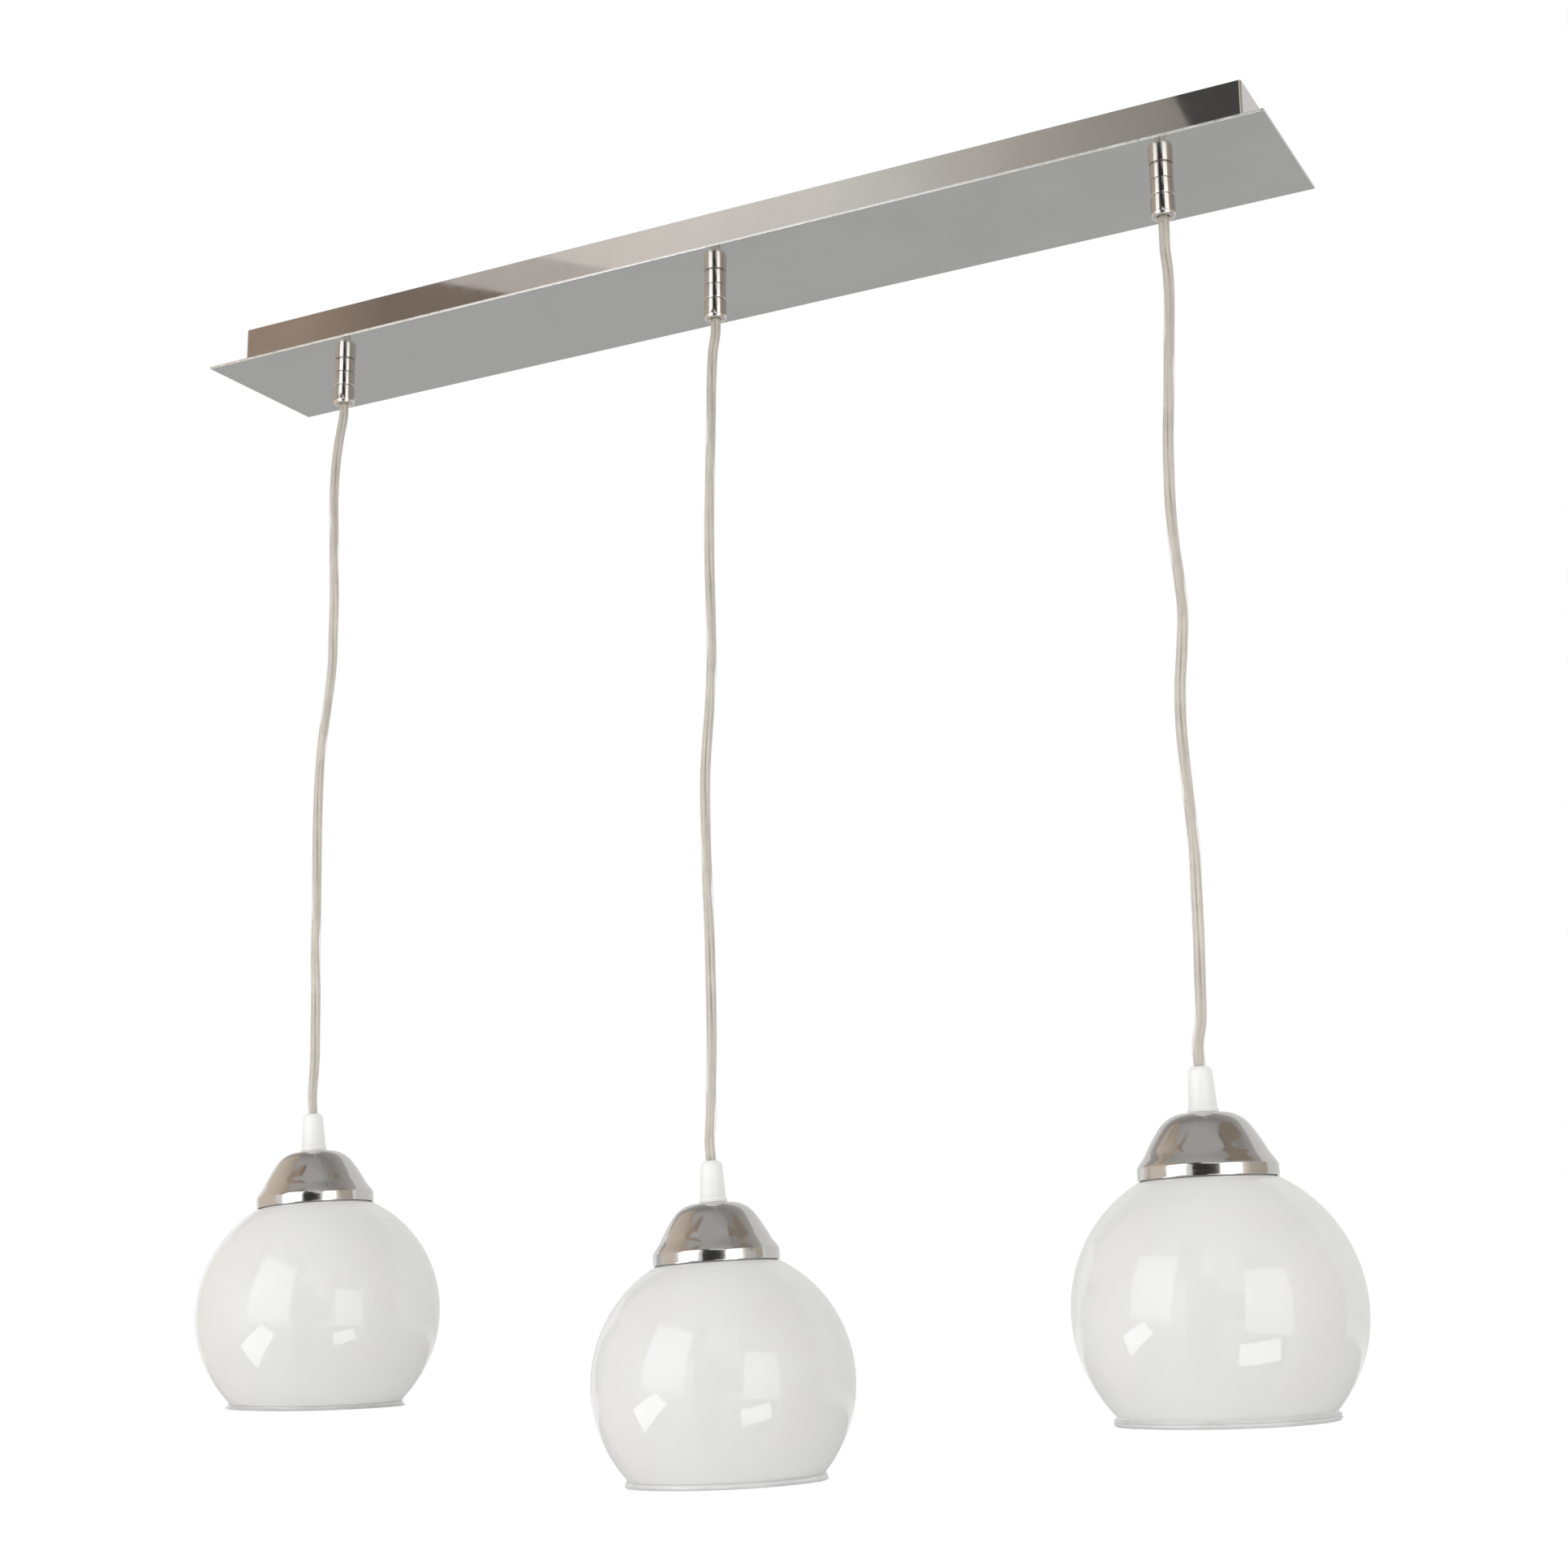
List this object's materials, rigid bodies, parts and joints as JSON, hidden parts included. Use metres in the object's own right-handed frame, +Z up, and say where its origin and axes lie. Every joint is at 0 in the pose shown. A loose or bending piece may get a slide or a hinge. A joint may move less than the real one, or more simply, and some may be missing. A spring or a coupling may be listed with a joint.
{
  "type": "pendant light",
  "caption": "Ceiling pendant light: a long mirror-polished canopy plate under a low box carries a row of clear cords, each with a bell-shaped chrome cap and a round opal glass shade.",
  "frame": {"origin": "on the ceiling plane, at the top face of the ceiling bracket, midway between the two ceiling screws", "axes": "+X along the canopy towards its right end as seen from the front, +Y towards the back, +Z up"},
  "size_m": [0.7219, 0.148, 0.7431],
  "materials": {
    "polished_metal": "polished",
    "bracket_steel": "zinc plated",
    "screw_steel": "zinc plated",
    "brass": "machined",
    "block_plastic": "moulded",
    "clamp_plastic": "moulded",
    "cord_plastic": "clear, over tinned strands",
    "wire_brown": "smooth",
    "wire_blue": "smooth",
    "wire_earth": "smooth",
    "sleeve_plastic": "satin",
    "holder_plastic": "moulded",
    "holder_ceramic": "unglazed",
    "opal_glass": "polished opal"
  },
  "bodies": {
    "canopy": {"canopy_plate": "polished_metal", "canopy_frame": "polished_metal", "ceiling_bracket": "bracket_steel", "side_screws": "screw_steel", "terminal_block": "block_plastic", "terminal_clamps": "brass", "terminal_screws": "screw_steel", "block_screw": "screw_steel", "earth_screw": "brass", "earth_wire": "wire_earth", "live_wires": "wire_brown", "neutral_wires": "wire_blue", "grip_body_left": "polished_metal", "grip_body_middle": "polished_metal", "grip_body_right": "polished_metal", "gland_nut_left": "polished_metal", "gland_nut_middle": "polished_metal", "gland_nut_right": "polished_metal", "grip_washers": "screw_steel", "grip_locknuts": "brass", "clamp_sleeves": "clamp_plastic", "cord_tails": "cord_plastic"},
    "link_left": {"cord_flex_left": "cord_plastic"},
    "head_left": {"cord_left": "cord_plastic", "sleeve_left": "sleeve_plastic", "nipple_left": "brass", "cap_left": "polished_metal", "holder_dome_left": "holder_plastic", "contact_block_left": "holder_ceramic", "lead_wires_left": "wire_brown", "lamp_contacts_left": "brass", "holder_skirt_left": "holder_plastic", "shade_ring_left": "holder_plastic", "shade_left": "opal_glass"},
    "link_middle": {"cord_flex_middle": "cord_plastic"},
    "head_middle": {"cord_middle": "cord_plastic", "sleeve_middle": "sleeve_plastic", "nipple_middle": "brass", "cap_middle": "polished_metal", "holder_dome_middle": "holder_plastic", "contact_block_middle": "holder_ceramic", "lead_wires_middle": "wire_brown", "lamp_contacts_middle": "brass", "holder_skirt_middle": "holder_plastic", "shade_ring_middle": "holder_plastic", "shade_middle": "opal_glass"},
    "link_right": {"cord_flex_right": "cord_plastic"},
    "head_right": {"cord_right": "cord_plastic", "sleeve_right": "sleeve_plastic", "nipple_right": "brass", "cap_right": "polished_metal", "holder_dome_right": "holder_plastic", "contact_block_right": "holder_ceramic", "lead_wires_right": "wire_brown", "lamp_contacts_right": "brass", "holder_skirt_right": "holder_plastic", "shade_ring_right": "holder_plastic", "shade_right": "opal_glass"}
  },
  "joints": [
    {"name": "swing_front_left", "type": "hinge", "parent": "canopy", "child": "link_left", "pos_m": [-0.287, 0, -0.0529], "axis": [1, 0, 0], "range_deg": [-20, 20]},
    {"name": "swing_side_left", "type": "hinge", "parent": "link_left", "child": "head_left", "pos_m": [-0.287, 0, -0.0529], "axis": [0, -1, 0], "range_deg": [-20, 6]},
    {"name": "swing_front_middle", "type": "hinge", "parent": "canopy", "child": "link_middle", "pos_m": [0, 0, -0.0529], "axis": [1, 0, 0], "range_deg": [-20, 20]},
    {"name": "swing_side_middle", "type": "hinge", "parent": "link_middle", "child": "head_middle", "pos_m": [0, 0, -0.0529], "axis": [0, -1, 0], "range_deg": [-6, 6]},
    {"name": "swing_front_right", "type": "hinge", "parent": "canopy", "child": "link_right", "pos_m": [0.287, 0, -0.0529], "axis": [1, 0, 0], "range_deg": [-20, 20]},
    {"name": "swing_side_right", "type": "hinge", "parent": "link_right", "child": "head_right", "pos_m": [0.287, 0, -0.0529], "axis": [0, -1, 0], "range_deg": [-6, 20]}
  ]
}
